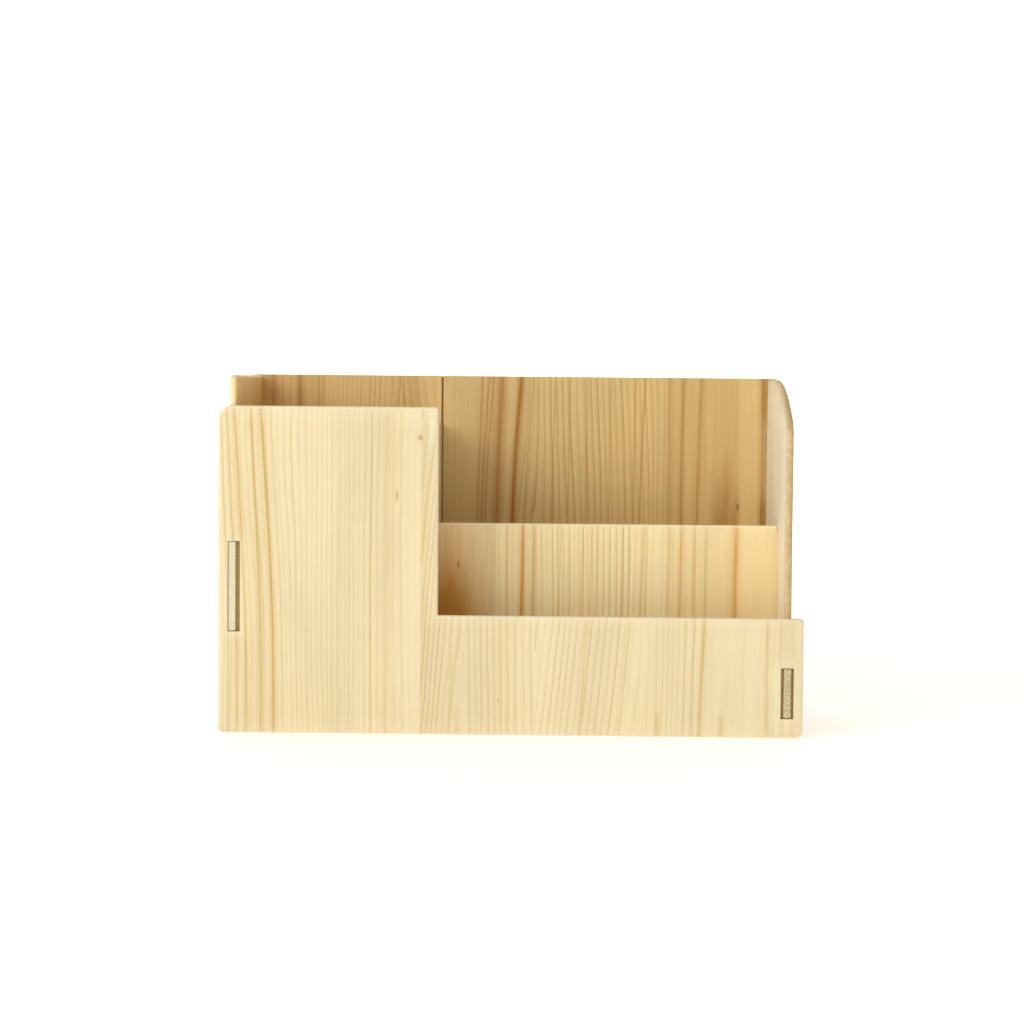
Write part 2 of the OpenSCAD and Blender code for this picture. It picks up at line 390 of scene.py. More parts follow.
def pine(name, across, along, depth, span, rings, tone, seed, early, late, streak, bends=(), slants=(), knots=(), flames_and_painted_shade=(),
         dark=None, edge_col=None, edge_amt=0.5, mottle=0.0, wander=1.0, tilt=0.35, face=0.0, rough=0.5, shade=(), line_amt=1.0,
         lines=(), line_l=(0, 1), joints=(), inner=None, cut_col=(0.2, 0.12, 0.05), cut_amt=0.9, cut_spots=0.0):
    """Solid pine. All places are in mm in the object's frame.
    rings: (place across, ring spacing); tone: (place, streak, line strength, lightness); bends: (place, width, shift,
    from, to) leans the lines as they go along the board; slants: (from, to, slope) tilts the lines in a strip."""
    mat = bpy.data.materials.new(name)
    k = Nodes(mat)
    tc = k.new("ShaderNodeTexCoord")
    vm = k.new("ShaderNodeVectorMath", operation="SCALE")
    k.put(vm.inputs[0], tc.outputs["Object"])
    vm.inputs["Scale"].default_value = 1000.0
    sep = k.new("ShaderNodeSeparateXYZ")
    k.put(sep.inputs[0], vm.outputs[0])
    ax = {"x": sep.outputs[0], "y": sep.outputs[1], "z": sep.outputs[2]}
    A, L, D = ax[across], ax[along], ax[depth]
    geo = k.new("ShaderNodeNewGeometry")
    nsep = k.new("ShaderNodeSeparateXYZ")
    # the board's own normal, so the pattern doesn't change as the object turns
    nv = k.new("ShaderNodeVectorTransform", vector_type="NORMAL", convert_from="WORLD", convert_to="OBJECT")
    k.put(nv.inputs[0], geo.outputs["Normal"])
    k.put(nsep.inputs[0], nv.outputs[0])
    nax = {"x": nsep.outputs[0], "y": nsep.outputs[1], "z": nsep.outputs[2]}
    end = k.step(k.math("ABSOLUTE", nax[along]), 0.55, 0.95)           # end grain
    att = k.new("ShaderNodeAttribute", attribute_name="edge")
    edge = att.outputs["Fac"]

    # lines wander a little, lean and bend
    w1 = k.noise(k.vec(k.add(k.mul(A, 0.018), seed), k.mul(L, 0.007), k.mul(D, 0.02)), 1.0, 1.0)
    w2 = k.noise(k.vec(k.add(k.mul(A, 0.12), seed * 3.1), k.mul(L, 0.02), k.mul(D, 0.05)), 1.0, 1.0)
    A1 = k.add(A, k.mul(k.sub(w1, 0.5), 5.0 * wander))
    A1 = k.add(A1, k.mul(k.sub(w2, 0.5), 1.1 * wander))
    for place, width, shift, l0, l1 in bends:
        g = k.math("EXPONENT", k.mul(k.math("POWER", k.mul(k.sub(A, place), 1.0 / width), 2.0), -1.0))
        f = k.lin(L, l0, l1, 0.0, 1.0)
        f = k.mul(k.mul(f, f), k.math("MULTIPLY_ADD", f, -2.0, 3.0))
        A1 = k.add(A1, k.mul(k.mul(g, f), shift))
    for a0, a1, slope, l0, reach in slants:
        inside_ = k.mul(k.step(A, a0 - 0.4, a0 + 0.4), k.sub(1.0, k.step(A, a1 - 3.0, a1 + 3.0)))
        A1 = k.add(A1, k.mul(k.mul(inside_, k.lin(L, l0 - reach, l0 + reach, -reach, reach)), -slope))
    kn_col, kn_rim = 0.0, 0.0
    for ka, kl, ra, rl, amt in knots:
        da, dl = k.mul(k.sub(A, ka), 1.0 / ra), k.mul(k.sub(L, kl), 1.0 / rl)
        d2 = k.add(k.mul(da, da), k.mul(dl, dl))
        near_ = k.math("EXPONENT", k.mul(d2, -0.12))
        A1 = k.add(A1, k.mul(k.mul(k.sub(ka, A), near_), 0.55))
        jitter = k.mul(k.sub(k.noise(k.vec(k.mul(A, 0.9), k.mul(L, 0.5), seed + ka), 1.0, 2.0), 0.5), 1.4)
        d2j = k.add(d2, jitter)
        kn_col = k.add(kn_col, k.mul(k.sub(1.0, k.step(d2j, 0.25, 1.7)), amt))
        kn_rim = k.add(kn_rim, k.mul(k.math("EXPONENT", k.mul(d2, -0.35)), amt * 0.45))
    A1 = k.add(A1, k.mul(k.sub(D, face), tilt))
    strip_no = 0.0
    A2 = A1
    for jx in joints:                              # straight glue lines, with new timber on the far side
        side = k.step(A, jx - 0.12, jx + 0.12)
        strip_no = k.add(strip_no, side)
        calm = k.step(k.math("ABSOLUTE", k.sub(A, jx)), 0.0, 6.0)
        A2 = k.add(A, k.mul(k.sub(A2, A), calm))

    pos = k.lin(A2, span[0], span[1], 0.0, 1.0)
    posr = k.lin(A1, span[0], span[1], 0.0, 1.0)
    # ring number along the board's width, from the spacing at each place
    N = 48
    xs = [span[0] + (span[1] - span[0]) * i / N for i in range(N + 1)]

    def spacing(x):
        if x <= rings[0][0]:
            return rings[0][1]
        for (xa, sa), (xb, sb) in zip(rings, rings[1:]):
            if x <= xb:
                return sa + (sb - sa) * (x - xa) / max(xb - xa, 1e-6)
        return rings[-1][1]
    acc = [0.0]
    for xa, xb in zip(xs, xs[1:]):
        acc.append(acc[-1] + (xb - xa) / spacing((xa + xb) / 2))
    total = acc[-1]
    fc = k.new("ShaderNodeFloatCurve")
    cv = fc.mapping.curves[0]
    cv.points[0].location = (0.0, 0.0)
    cv.points[1].location = (1.0, 1.0)
    for i in range(1, N):
        cv.points.new(i / N, acc[i] / total)
    for p in cv.points:
        p.handle_type = "VECTOR"
    fc.mapping.update()
    k.put(fc.inputs["Value"], posr)
    ph = k.add(k.mul(fc.outputs[0], total), k.mul(strip_no, 7.4))
    ph = k.add(ph, k.mul(k.sub(k.noise(k.vec(k.add(k.mul(A, 0.05), seed + 7.0), k.mul(L, 0.004), 0.0), 1.0, 1.0), 0.5), 1.6))
    fr = k.math("FRACT", ph)
    ringno = k.math("FLOOR", ph)
    wn = k.new("ShaderNodeTexWhiteNoise", noise_dimensions="1D")
    k.put(wn.inputs["W"], k.add(ringno, seed * 10.0))
    ramp_ring = wn.outputs[0]
    fr3 = k.math("POWER", fr, 5.0)
    late_w = k.mul(k.add(k.mul(fr3, 0.95), k.mul(k.mul(fr, fr), 0.30)), k.sub(1.0, k.step(fr, 0.92, 1.0)))
    late_w = k.mul(late_w, k.lin(ramp_ring, 0.0, 1.0, 0.35, 1.0))

    # broad tone along the width: streak, line strength, lightness
    cr = k.new("ShaderNodeValToRGB")
    k.put(cr.inputs[0], pos)
    el = cr.color_ramp.elements
    stops = [((p - span[0]) / (span[1] - span[0]), a, b, c) for p, a, b, c in tone]
    el[0].position, el[0].color = stops[0][0], (*stops[0][1:], 1)
    el[1].position, el[1].color = stops[-1][0], (*stops[-1][1:], 1)
    for p, a, b, c in stops[1:-1]:
        e = el.new(p)
        e.color = (a, b, c, 1)
    cs = k.new("ShaderNodeSeparateColor")
    k.put(cs.inputs[0], cr.outputs[0])
    st, amt, light = cs.outputs[0], cs.outputs[1], cs.outputs[2]

    slow = k.noise(k.vec(k.add(k.mul(A, 0.05), seed * 2.0), k.mul(L, 0.011), k.mul(D, 0.05)), 1.0, 1.0, 0.55)
    fibre = k.noise(k.vec(k.add(k.mul(A1, 1.7), seed), k.mul(L, 0.045), k.mul(D, 1.2)), 1.0, 2.0, 0.6)
    fine = k.noise(k.vec(k.add(k.mul(A1, 5.5), seed * 5.0), k.mul(L, 0.10), k.mul(D, 4.0)), 1.0, 0.0, 0.6)

    col = k.mix(k.mul(k.mul(late_w, amt), line_amt), early, late)
    stn = k.mul(st, k.lin(k.noise(k.vec(k.add(k.mul(A1, 0.5), seed * 4.0), k.mul(L, 0.03), 0.0), 1.0, 1.0), 0.3, 0.7, 0.75, 1.12))
    for fa, fl0, fl1, fw, famt in flames_and_painted_shade:          # short tongues of darker wood; the divider's one is painted shade
        up = k.sub(1.0, k.step(L, fl0, fl1))
        wdt = k.math("EXPONENT", k.mul(k.math("POWER", k.mul(k.sub(A, fa), 1.0 / fw), 2.0), -1.0))
        stn = k.add(stn, k.mul(k.mul(up, wdt), famt))
    stn = k.math("MINIMUM", stn, 1.0)
    if lines:                                      # single strong rings, placed one by one
        t = k.lin(L, line_l[0], line_l[1], 0.0, 1.0)
        t = k.math("POWER", t, 1.5)
        Aw = k.math("MULTIPLY_ADD", w2, 0.9, k.sub(A, 0.45))
        ramps, total_ = {}, 0.0
        for xb, xt, sg, am, *zone in lines:
            tt = t
            if zone:
                tt = ramps.setdefault(tuple(zone), None) or k.lin(L, zone[0], zone[1], 0.0, 1.0)
                ramps[tuple(zone)] = tt
            d = k.sub(Aw, k.math("MULTIPLY_ADD", tt, xt - xb, xb))
            fall = k.math("MULTIPLY_ADD", k.mul(d, d), 1.0 / (sg * sg), 1.0)
            total_ = k.add(total_, k.math("DIVIDE", am, fall))
        total_ = k.mul(total_, k.lin(slow, 0.3, 0.7, 0.8, 1.15))
        stn = k.add(stn, k.sub(total_, 0.02))
        stn = k.math("MAXIMUM", stn, 0.0)
    stn = k.math("MINIMUM", stn, 1.0)
    col = k.mix(stn, col, streak)
    # lightness: 0.5 in the ramp is neutral
    lightn = k.add(k.lin(light, 0.0, 1.0, 0.72, 1.28), k.mul(k.sub(slow, 0.5), 0.22))
    lightn = k.add(lightn, k.mul(k.sub(fibre, 0.5), 0.15))
    lightn = k.add(lightn, k.mul(k.sub(fine, 0.5), 0.07))
    # resin canals: sparse short dashes
    vo = k.new("ShaderNodeTexVoronoi", voronoi_dimensions="3D", feature="F1")
    k.put(vo.inputs["Vector"], k.vec(k.add(k.mul(A, 0.55), seed), k.mul(L, 0.055), k.mul(D, 0.3)))
    dash = k.sub(1.0, k.step(vo.outputs["Distance"], 0.05, 0.16))
    lightn = k.sub(lightn, k.mul(dash, 0.07))
    for a0, a1, l0, l1, amt_ in shade:             # painted shade: a darker zone laid into the colour; no board below passes one
        z = k.mul(k.sub(1.0, k.step(A, a0, a1)), k.sub(1.0, k.step(L, l0, l1)))
        lightn = k.sub(lightn, k.mul(z, amt_))
    gray = k.new("ShaderNodeCombineColor")
    for i in range(3):
        k.put(gray.inputs[i], k.math("MAXIMUM", lightn, 0.0))
    col = k.mix(1.0, col, gray.outputs[0], "MULTIPLY")
    # warm drift of hue
    hue = k.noise(k.vec(k.add(k.mul(A, 0.03), seed * 7.0), k.mul(L, 0.018), 0.0), 1.0, 1.0)
    warm = k.mix(k.lin(hue, 0.35, 0.7, 0.0, 0.35), (1.0, 1.0, 1.0), (1.0, 0.975, 0.85))
    col = k.mix(1.0, col, warm, "MULTIPLY")
    if knots:
        col = k.mix(k.math("MINIMUM", kn_rim, 0.8), col, streak)
        col = k.mix(k.math("MINIMUM", kn_col, 0.95), col, dark or tuple(c * 0.35 for c in streak))
    # cut ends: darker open grain, with the rings crossing the thickness
    pores = k.noise(k.vec(k.mul(A, 3.2), k.mul(L, 3.2), k.mul(D, 3.2)), 1.0, 1.0, 0.65)
    endcol = k.mix(k.lin(pores, 0.3, 0.72, 0.0, 1.0), tuple(c * 0.62 for c in late), tuple(min(1.0, c * 0.97) for c in early))
    col = k.mix(k.mul(end, 0.55), col, endcol)
    # sanded edges: paler where the tool cut, with small scuffs
    ec = edge_col or tuple(min(1.0, c * 1.06 + 0.02) for c in early)
    scuff = k.noise(k.vec(k.mul(A, 0.8), k.mul(L, 0.35), k.mul(D, 0.8)), 1.0, 1.0, 0.6)
    em = k.mul(edge, k.mul(k.lin(scuff, 0.3, 0.65, 0.72, 1.0), edge_amt))
    if mottle:
        spots = k.noise(k.vec(k.mul(A, 1.6), k.mul(L, 1.6), k.mul(D, 1.6)), 1.0, 4.0, 0.7)
        ecn = k.mix(k.mul(k.lin(spots, 0.38, 0.62, 0.0, mottle), k.add(k.step(k.math("ABSOLUTE", nax[along]), 0.2, 0.6), 0.12)), ec, tuple(c * 0.55 for c in ec))
        col = k.mix(em, col, ecn)
    else:
        col = k.mix(em, col, ec)

    # painted light and shade: the inner face of a side panel is tinted lighter or darker by how the light falls on it
    if inner:
        painted_light_face_mask = k.step(k.math("ABSOLUTE", k.sub(D, face)), 1.6, 0.6)
        col = k.mix(painted_light_face_mask, col, k.mix(1.0, col, inner, "MULTIPLY"))
    catt = k.new("ShaderNodeAttribute", attribute_name="cut")
    raw = k.noise(k.vec(k.mul(A, 1.9), k.mul(L, 1.9), k.mul(D, 1.9)), 1.0, 1.0, 0.7)
    cc = k.mix(k.lin(raw, 0.36, 0.64, 0.0, 1.0), tuple(c * (1 - cut_spots) for c in cut_col), tuple(min(1.0, c * (1 + 0.35 * cut_spots)) for c in cut_col))
    col = k.mix(k.mul(catt.outputs["Fac"], cut_amt), col, cc)

    bs = k.new("ShaderNodeBsdfPrincipled")
    k.put(bs.inputs["Base Color"], col)
    rg = k.add(rough, k.mul(k.sub(fibre, 0.5), 0.22))
    rg = k.add(rg, k.mul(k.sub(slow, 0.5), 0.12))
    rg = k.add(rg, k.mul(k.math("MAXIMUM", end, k.mul(edge, 0.5)), 0.18))
    rg = k.sub(rg, k.mul(k.mul(late_w, amt), 0.07))
    k.put(bs.inputs["Roughness"], k.math("MINIMUM", k.math("MAXIMUM", rg, 0.2), 1.0))
    bs.inputs["Specular IOR Level"].default_value = 0.32
    h = k.add(k.mul(k.mul(late_w, amt), 0.55), k.mul(fibre, 0.45))
    h = k.add(h, k.mul(fine, 0.35))
    h = k.sub(h, k.mul(dash, 0.5))
    h = k.sub(h, k.mul(k.mul(pores, end), 0.9))
    bp = k.new("ShaderNodeBump")
    bp.inputs["Strength"].default_value = 0.42
    bp.inputs["Distance"].default_value = 0.00012
    k.put(bp.inputs["Height"], h)
    k.put(bs.inputs["Normal"], bp.outputs[0])
    out = k.new("ShaderNodeOutputMaterial")
    k.put(out.inputs[0], bs.outputs[0])
    return mat


def lin(r, g, b):
    """sRGB 0..255 to linear."""
    return tuple(((c / 255 + 0.055) / 1.055) ** 2.4 if c > 10 else c / 255 / 12.92 for c in (r, g, b))


# ------------------------------------------------------------------ materials
m_front = pine(
    "front_pine", "x", "z", "y", (-122, 122), face=YF,
    rings=[(-120, 2.6), (-112, 2.8), (-98, 2.5), (-90, 2.2), (-78, 2.1), (-70, 1.6), (-64, 2.0), (-56, 2.8), (-46, 3.4),
           (-38, 3.0), (-36, 1.6), (-20, 2.6), (-8, 2.6), (4, 3.2), (20, 2.7), (45, 2.7), (52, 5.0), (62, 2.4), (72, 2.4), (80, 7.0), (104, 6.0), (112, 4.0)],
    tone=[(-121, 0.10, 0.45, 0.52), (-98, 0.10, 0.50, 0.50), (-93, 0.04, 0.50, 0.51), (-84, 0.02, 0.62, 0.52), (-76, 0.02, 0.62, 0.51),
          (-68, 0.03, 0.45, 0.47), (-58, 0.03, 0.62, 0.50), (-49, 0.14, 0.45, 0.50), (-42, 0.04, 0.30, 0.54), (-37.0, 0.03, 0.25, 0.56),
          (-36.5, 0.20, 0.85, 0.45), (-28, 0.08, 0.70, 0.49), (-10, 0.05, 0.55, 0.51), (-2, 0.12, 0.65, 0.50), (12, 0.03, 0.55, 0.52),
          (32, 0.10, 0.90, 0.50), (44, 0.05, 0.80, 0.50), (48, 0.02, 0.20, 0.54), (60, 0.06, 0.30, 0.53), (68, 0.05, 0.7, 0.52), (77, 0.04, 0.30, 0.54),
          (78.6, 0.10, 0.3, 0.52), (81, 0.04, 0.15, 0.54), (102, 0.03, 0.15, 0.54), (105.2, 0.14, 0.2, 0.53), (108, 0.02, 0.2, 0.55), (117, 0.26, 0.3, 0.54), (121, 0.05, 0.2, 0.55)],
    seed=3.0, early=lin(233, 218, 180), late=lin(200, 170, 96), streak=lin(199, 160, 68), joints=(-36.75,),
    bends=((-108, 24, 5.0, 30, 134),), slants=((-36.8, -20, 0.10, 60, 90), (10, 54, 0.11, 20, 60)),
    lines=((-96.9, -102.4, 0.50, 0.80), (-102.0, -106.6, 0.42, 0.66), (-107.9, -113.4, 0.42, 0.60), (-111.8, -116.4, 0.40, 0.52), (-115.4, -118.8, 0.36, 0.45), (-93.0, -98.6, 0.3, 0.28),
           (77.4, 79.6, 0.6, 0.62, 0, 49), (71.0, 72.0, 0.3, 0.30, 0, 49), (74.0, 75.4, 0.3, 0.34, 0, 49), (105.2, 105.2, 0.5, 0.34, 0, 49), (111.0, 110.6, 0.4, 0.30, 0, 49),
           (44.6, 49.0, 0.28, 0.40, 0, 49), (28.4, 31.6, 0.3, 0.34, 0, 49), (-24.4, -23.8, 0.28, 0.30, 0, 49), (-12.0, -11.6, 0.28, 0.26, 0, 49),
           (-57.5, -57.0, 0.25, 0.30, 0, 134), (-70.5, -70.0, 0.25, 0.26, 0, 134), (-51.0, -50.6, 0.9, 0.16, 0, 134)),
    line_l=(22, 134),
    knots=((-37.2, 121.6, 0.75, 1.0, 0.62), (-46.6, 98.0, 0.45, 1.5, 0.62), (-4.6, 14.2, 0.4, 0.5, 0.4)),
    flames_and_painted_shade=((60.5, 4, 15, 1.1, 0.5), (86.5, 4, 13, 1.1, 0.45)),
    dark=lin(196, 146, 76), edge_col=lin(250, 238, 208), edge_amt=0.7, rough=0.52, cut_col=lin(190, 164, 110), cut_amt=0.95, cut_spots=0.2, line_amt=1.15)

m_back = pine(
    "back_pine_right", "x", "z", "y", (-36, 122), face=YBI,
    rings=[(-32, 1.3), (-18, 1.3), (-12, 2.6), (0, 5.0), (8, 3.0), (12, 2.9), (55, 2.7), (62, 1.8), (68, 3.5), (84, 6.0), (120, 5.0)],
    tone=[(-35, 0.05, 0.40, 0.45), (-18, 0.06, 0.45, 0.44), (-15.2, 0.16, 0.4, 0.44), (-10.4, 0.14, 0.4, 0.45), (-7.6, 0.30, 0.4, 0.44), (-4.6, 0.20, 0.4, 0.45), (-2.6, 0.03, 0.2, 0.53),
          (0.4, 0.03, 0.2, 0.54), (2.4, 0.24, 0.3, 0.46), (5.2, 0.05, 0.5, 0.50), (9.0, 0.05, 0.8, 0.50), (30, 0.04, 0.9, 0.50), (50, 0.06, 0.95, 0.49), (58, 0.05, 0.6, 0.51), (66, 0.06, 0.4, 0.51),
          # the stops at X 99.8 and 107 give a pale band, a painted highlight; the stops from X 109 on are painted shade
          # in the corner by the right side panel
          (70, 0.16, 0.3, 0.50), (78, 0.14, 0.2, 0.50), (84, 0.16, 0.2, 0.49), (92, 0.22, 0.12, 0.48), (98.0, 0.20, 0.1, 0.50), (99.8, 0.0, 0.05, 0.55), (107, 0.0, 0.05, 0.55), (109.0, 0.30, 0.2, 0.50), (110.4, 0.62, 0.2, 0.44), (116, 0.4, 0.3, 0.44)],
    lines=((-16.2, -14.4, 0.28, 0.62), (-14.5, -11.3, 0.30, 0.60), (-12.8, -9.4, 0.26, 0.55), (-7.8, -5.4, 1.5, 0.60), (-0.6, 2.8, 1.05, 0.98), (4.9, 8.4, 0.30, 0.50),
           (32.1, 32.0, 0.22, 0.55), (53.2, 53.6, 0.26, 0.50), (55.8, 58.2, 0.30, 0.55), (68.8, 68.9, 0.7, 0.42), (74.4, 75.2, 0.8, 0.55), (81.6, 83.0, 0.75, 0.50),
           # the line at X 110.2 is painted shade in that corner
           (16.6, 18.2, 0.22, 0.40), (24.0, 24.8, 0.22, 0.40), (42.2, 42.6, 0.22, 0.40), (110.2, 110.0, 0.5, 0.4)),
    line_l=(83, 147),
    seed=11.0, early=lin(224, 195, 134), late=lin(166, 122, 56), streak=lin(174, 114, 34),
    bends=((3, 8, 5.0, 146, 60),), slants=((9, 60, -0.03, 100, 100),), flames_and_painted_shade=((90.8, 78, 114, 2.6, 0.50), (94.6, 88, 126, 2.2, 0.40), (98.6, 76, 110, 1.9, 0.50)),
    knots=((99.6, 89.6, 0.6, 1.5, 0.6),), dark=lin(140, 84, 26),
    edge_col=lin(238, 214, 160), edge_amt=0.55, rough=0.5, cut_col=lin(150, 104, 50), cut_amt=0.9, cut_spots=0.15)

m_back_l = pine(
    "back_pine_left", "x", "z", "y", (-122, -28), face=YBI,
    rings=[(-118, 4.0), (-100, 4.0), (-90, 2.4), (-70, 2.0), (-60, 2.2), (-45, 3.4), (-32, 3.0)],
    tone=[(-121, 0.3, 0.3, 0.46), (-112, 0.25, 0.3, 0.47), (-107, 0.55, 0.4, 0.44), (-104, 0.12, 0.5, 0.48), (-97, 0.14, 0.5, 0.48), (-94.4, 0.72, 0.3, 0.42), (-91.8, 0.14, 0.5, 0.48),
          (-86, 0.3, 0.6, 0.46), (-82, 0.06, 0.6, 0.49), (-60, 0.05, 0.6, 0.5), (-50, 0.15, 0.8, 0.48), (-43, 0.25, 0.9, 0.47), (-38, 0.03, 0.4, 0.52), (-30, 0.05, 0.3, 0.5)],
    seed=17.0, early=lin(234, 200, 136), late=lin(172, 124, 56), streak=lin(172, 106, 34),
    bends=((-56, 16, 7.0, 152, 70),), slants=((-50, -36, -0.14, 130, 22),),
    edge_col=lin(238, 214, 160), edge_amt=0.55, rough=0.5, cut_col=lin(150, 104, 50), cut_amt=0.9, cut_spots=0.15)

m_div = pine(
    "divider_pine", "x", "z", "y", (-36, 118), face=DY0,
    rings=[(-34, 7.0), (-10, 5.0), (-4, 2.6), (12, 2.4), (30, 2.2), (58, 2.6), (66, 4.5), (90, 6.0), (112, 5.0)],
    tone=[(-35, 0.46, 0.06, 0.40), (-26, 0.50, 0.06, 0.42), (-20, 0.36, 0.06, 0.44), (-12, 0.26, 0.05, 0.44), (-6.75, 0.24, 0.1, 0.46), (-6.45, 0.02, 0.4, 0.56), (-3.0, 0.03, 0.4, 0.55),
          (2.0, 0.06, 0.2, 0.53), (4.4, 0.22, 0.3, 0.51), (6.8, 0.05, 0.2, 0.54), (9.0, 0.16, 0.3, 0.52), (11.4, 0.04, 0.7, 0.54),
          (26, 0.08, 0.95, 0.51), (40, 0.04, 1.0, 0.51), (56, 0.08, 0.95, 0.50), (60, 0.05, 0.4, 0.53), (70, 0.12, 0.3, 0.52), (82, 0.12, 0.2, 0.52), (90, 0.20, 0.1, 0.51), (94.6, 0.34, 0.1, 0.50), (98, 0.20, 0.1, 0.52), (117, 0.18, 0.1, 0.52)],
    lines=((-2.0, -2.0, 0.35, 0.50, 40, 85), (4.2, 4.5, 0.75, 0.85, 40, 85), (9.0, 9.2, 0.55, 0.62, 40, 85), (65.9, 66.2, 0.6, 0.40, 40, 85), (71.0, 71.4, 0.6, 0.58, 40, 85),
           (76.8, 77.0, 0.55, 0.42, 40, 85), (81.5, 82.0, 0.4, 0.42, 40, 85), (94.2, 94.4, 0.9, 0.50, 40, 85), (29.2, 30.2, 0.26, 0.50, 40, 85), (33.0, 34.0, 0.24, 0.45, 40, 85),
           (35.6, 36.6, 0.24, 0.45, 40, 85), (54.4, 55.6, 0.28, 0.50, 40, 85), (46.0, 47.0, 0.22, 0.35, 40, 85), (20.0, 20.8, 0.22, 0.35, 40, 85)),
    # the flame low on the left end is painted shade: the shadow of the tall front part and the wall, laid in as dark
    # orange; the browner left strip in the tone stops is the wood's own
    flames_and_painted_shade=((-26, 44, 82, 12.0, 0.72),),
    seed=23.0, early=lin(248, 230, 180), late=lin(206, 168, 92), streak=lin(208, 148, 54), joints=(-6.6,),
    knots=((-22.5, 67.3, 0.5, 1.5, 0.55),), dark=lin(150, 84, 34),
    edge_col=lin(250, 236, 202), edge_amt=0.6, rough=0.5)

m_left = pine(
    "side_pine_left", "y", "z", "x", (-50, 50), face=LX1,
    rings=[(-48, 2.6), (-10, 3.6), (20, 3.0), (48, 2.4)],
    tone=[(-50, 0.05, 0.4, 0.5), (-20, 0.10, 0.5, 0.5), (0, 0.04, 0.6, 0.5), (18, 0.16, 0.5, 0.5), (34, 0.05, 0.6, 0.5), (50, 0.1, 0.5, 0.5)],
    # inner tint: painted shade, browning the left panel's inner face, which faces away from the key light
    seed=31.0, early=lin(240, 220, 172), late=lin(206, 168, 102), streak=lin(200, 146, 70), inner=(1.1, 0.90, 0.60),
    knots=((12, 108, 1.6, 3.0, 0.8),), dark=lin(140, 84, 36),
    edge_col=lin(247, 236, 206), edge_amt=0.6, rough=0.52, cut_col=lin(226, 219, 190), cut_spots=0.12)

m_right = pine(
    "side_pine_right", "y", "z", "x", (-50, 50), face=RX0,
    rings=[(-48, 3.4), (-10, 2.6), (20, 3.2), (48, 3.0)],
    tone=[(-50, 0.02, 0.3, 0.54), (-20, 0.04, 0.35, 0.54), (0, 0.02, 0.3, 0.55), (18, 0.06, 0.3, 0.52), (34, 0.03, 0.35, 0.52), (50, 0.05, 0.35, 0.5)],
    # inner tint: painted light, paling the right panel's inner face to cream where the key light falls on it
    seed=37.0, early=lin(242, 226, 190), late=lin(216, 188, 138), streak=lin(208, 162, 96), inner=(1.1, 1.2, 1.42),
    edge_col=lin(196, 164, 110), edge_amt=0.95, mottle=0.4, rough=0.52, cut_col=lin(214, 194, 156), cut_spots=0.45)

m_base = pine(
    "base_pine", "y", "x", "z", (-50, 50), face=SZ1,
    rings=[(-48, 3.0), (0, 2.4), (48, 3.4)],
    tone=[(-50, 0.05, 0.5, 0.5), (-14, 0.16, 0.6, 0.5), (6, 0.04, 0.6, 0.52), (30, 0.2, 0.5, 0.5), (50, 0.05, 0.5, 0.5)],
    seed=41.0, early=lin(234, 210, 162), late=lin(198, 156, 98), streak=lin(190, 130, 64), rough=0.55)

m_wall = pine(
    "wall_pine", "y", "z", "x", (-50, 50), face=WX1,
    rings=[(-48, 2.4), (0, 3.0), (48, 2.2)],
    tone=[(-50, 0.06, 0.5, 0.5), (-10, 0.12, 0.6, 0.5), (14, 0.05, 0.6, 0.5), (50, 0.1, 0.5, 0.5)],
    seed=47.0, early=lin(232, 208, 160), late=lin(196, 154, 98), streak=lin(190, 132, 66), rough=0.55)

# --------------------------------------------------------------------- boards
front = board(
    "board_front", "front_panel", "xz", YF, YFI,
    [(FX0, 0, 2.4), (FX1, 0, 3.4), (FX1, LOW_H, 2.0), (XSTEP, LOW_H, 0.5), (XSTEP, FZ1, 1.4), (FX0, FZ1, 6.0)],
    lambda u, v: 0.7 + 0.65 * ease(v, 1.0, 6.0), lambda u, v: 0.6 + 0.7 * ease(v, 1.0, 6.0),
    pockets=[([(LX0 - 0.12, L_SLOT[0] + 0.1, 0.3), (-110.65, L_SLOT[0] + 0.1, 0.3), (-110.65, L_SLOT[1] - 0.1, 0.3), (LX0 - 0.12, L_SLOT[1] - 0.1, 0.3)],
              [(LX0 - 0.06, L_SLOT[0] + 0.22, 0.2), (LX1 + 0.06, L_SLOT[0] + 0.22, 0.2), (LX1 + 0.06, L_SLOT[1] - 0.22, 0.2), (LX0 - 0.06, L_SLOT[1] - 0.22, 0.2)], T - 0.8),
             ([(110.9, R_SLOT[0] + 0.1, 0.3), (116.1, R_SLOT[0] + 0.1, 0.3), (116.1, R_SLOT[1] - 0.1, 0.3), (110.9, R_SLOT[1] - 0.1, 0.3)],
              [(RX0 - 0.06, R_SLOT[0] + 0.22, 0.2), (RX1 + 0.06, R_SLOT[0] + 0.22, 0.2), (RX1 + 0.06, R_SLOT[1] - 0.22, 0.2), (RX0 - 0.06, R_SLOT[1] - 0.22, 0.2)], T - 0.8)],
    material=m_front)


def rear_tenons():
    p = []
    for a, b in REAR:
        p += [(YBI, a + FIT, 0.25), (TIP, a + FIT, 0.3), (TIP, b - FIT, 0.3), (YBI, b - FIT, 0.25)]
    return p


def side_r(front_z, tz0, tz1):
    """Edge radius of a side panel: round at the top, the free front edge and the rear edge, tight in the joints."""
    def r(u, v):
        top = ease(v, SIDE_H - 3.5, SIDE_H - 1.0) if u > YFI + 1 else 1.0
        if v > front_z and u < YFI + 60:
            a = 1.2 * ease(v, front_z, front_z + 3)
        else:
            a = 0.0
        if u > YBI - 0.6:                         # rear edge, between the tenons
            d = min([abs(v - z) for s in REAR for z in s] + [99])
            within = any(s[0] <= v <= s[1] for s in REAR)
            a = 0.0 if within else 1.25 * ease(min(d, v - 0.9), 0.5, 3.0)
            if v > SIDE_H - 3:
                a = 1.25
        elif v > SIDE_H - 1.0:
            a = 1.25
        return max(0.22, a, 0.45 if v < 0.5 else 0.0)
    return r


